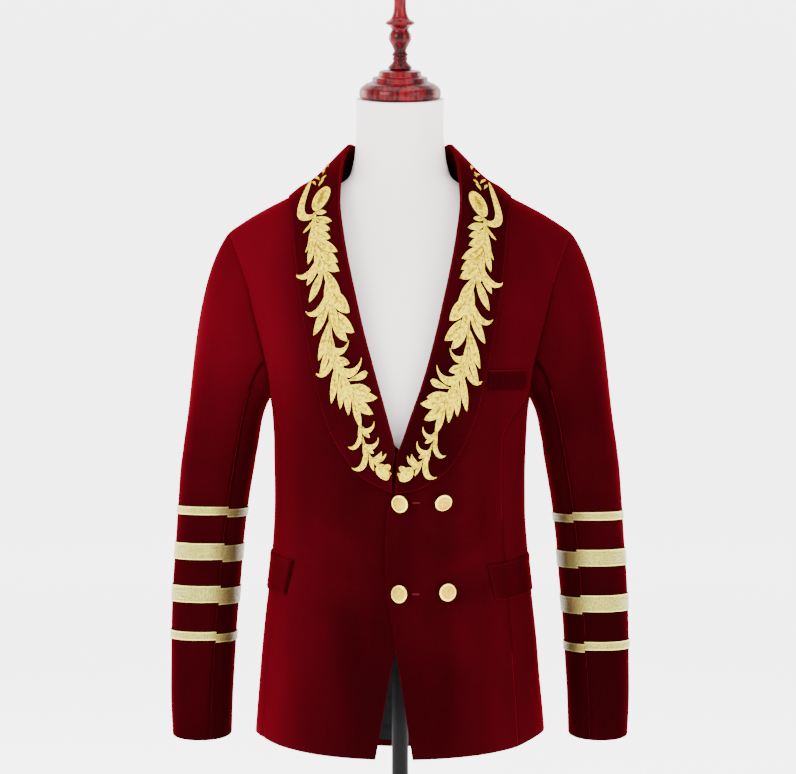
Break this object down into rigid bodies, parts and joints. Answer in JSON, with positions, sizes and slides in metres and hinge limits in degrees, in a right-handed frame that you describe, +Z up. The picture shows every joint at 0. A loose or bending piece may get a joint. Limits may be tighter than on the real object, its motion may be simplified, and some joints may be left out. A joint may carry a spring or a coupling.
{
  "type": "velvet tuxedo jacket on a dress form",
  "caption": "Double-breasted velvet tuxedo jacket with a shawl collar, leaf garlands, gold buttons and sleeve bands, on a limbless dress form with a turned finial.",
  "frame": {"origin": "middle of the underside of the stand's base, on the floor", "axes": "+Z up, -Y the way the jacket faces, +X to the wearer's left"},
  "size_m": [0.5866, 0.34, 1.2196],
  "materials": {
    "velvet": "dark red pile with bright grazing sheen",
    "gold_thread": "satin stitch",
    "braid": "metallic woven braid",
    "button": "pale gold, grained",
    "lining": "smooth satin",
    "linen": "plain off-white cover",
    "mahogany": "polished, dark red",
    "black_metal": "satin black"
  },
  "bodies": {
    "root": {"back_left": "velvet", "back_right": "velvet", "band_top_left_1": "braid", "band_top_left_2": "braid", "band_top_left_3": "braid", "band_top_left_4": "braid", "band_top_right_1": "braid", "band_top_right_2": "braid", "band_top_right_3": "braid", "band_top_right_4": "braid", "band_under_left_1": "braid", "band_under_left_2": "braid", "band_under_left_3": "braid", "band_under_left_4": "braid", "band_under_right_1": "braid", "band_under_right_2": "braid", "band_under_right_3": "braid", "band_under_right_4": "braid", "breast_welt": "velvet", "button_1": "button", "button_2": "button", "button_3": "button", "button_4": "button", "collar_left": "velvet", "collar_right": "velvet", "flap_left": "velvet", "flap_right": "velvet", "form_base": "black_metal", "form_cap": "mahogany", "form_finial": "mahogany", "form_pole": "black_metal", "form_torso": "linen", "front_left": "velvet", "front_right": "velvet", "garland_left": "gold_thread", "garland_right": "gold_thread", "lining_back": "lining", "side_left": "velvet", "side_right": "velvet", "topsleeve_left": "velvet", "topsleeve_right": "velvet", "undersleeve_left": "velvet", "undersleeve_right": "velvet"}
  },
  "joints": []
}
